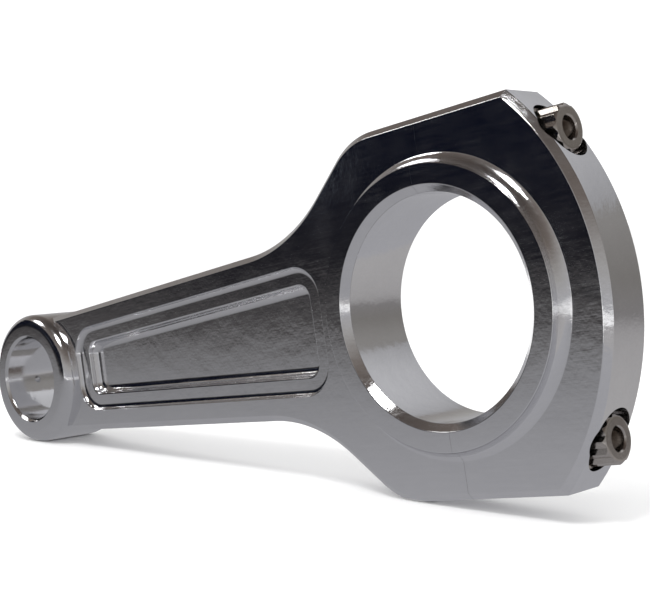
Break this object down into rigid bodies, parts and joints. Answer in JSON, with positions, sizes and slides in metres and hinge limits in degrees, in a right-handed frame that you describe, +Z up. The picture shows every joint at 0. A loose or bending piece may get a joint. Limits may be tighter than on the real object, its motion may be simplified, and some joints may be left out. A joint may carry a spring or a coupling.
{
  "type": "connecting rod",
  "caption": "Two-piece aluminium connecting rod with a pocketed I-beam, raised thrust rings and a cap held by twelve-point screws.",
  "frame": {"origin": "on the bench under the middle of the rod's length and thickness", "axes": "+Z up; +X level, from the small end towards the cap; +Y along both bores. The rod leans as it rests, so its own axis rises 9.22 degrees from +X towards +Z"},
  "size_m": [0.2536, 0.026, 0.1054],
  "materials": {
    "polished_aluminium": "machined and polished",
    "bolt_steel": "dark polished alloy steel",
    "washer_steel": "hardened and ground",
    "dowel_steel": "ground"
  },
  "bodies": {
    "rod": {"rod_body": "polished_aluminium", "sleeve_upper": "dowel_steel", "sleeve_lower": "dowel_steel"},
    "cap": {"cap": "polished_aluminium", "shell_dowel": "dowel_steel"},
    "washer_upper": {"washer_upper": "washer_steel"},
    "bolt_upper": {"bolt_upper": "bolt_steel"},
    "washer_lower": {"washer_lower": "washer_steel"},
    "bolt_lower": {"bolt_lower": "bolt_steel"}
  },
  "joints": [
    {"name": "cap_lift", "type": "slide", "parent": "rod", "child": "cap", "axis": [0.9871, 0, 0.1603], "range_m": [0, 0.026]},
    {"name": "bolt_upper_travel", "type": "slide", "parent": "cap", "child": "washer_upper", "axis": [0.9871, 0, 0.1603], "range_m": [0, 0.0224]},
    {"name": "bolt_upper_turn", "type": "hinge", "parent": "washer_upper", "child": "bolt_upper", "pos_m": [0.10042, 0, 0.09373], "axis": [0.9871, 0, 0.1603], "range_deg": [0, 7620]},
    {"name": "bolt_lower_travel", "type": "slide", "parent": "cap", "child": "washer_lower", "axis": [0.9871, 0, 0.1603], "range_m": [0, 0.0224]},
    {"name": "bolt_lower_turn", "type": "hinge", "parent": "washer_lower", "child": "bolt_lower", "pos_m": [0.11249, 0, 0.0194], "axis": [0.9871, 0, 0.1603], "range_deg": [0, 7620]}
  ],
  "couplings": [
    {"joint": "bolt_upper_turn", "follows": "bolt_upper_travel", "rad_per_m": 5936.9},
    {"joint": "bolt_lower_turn", "follows": "bolt_lower_travel", "rad_per_m": 5936.9}
  ]
}
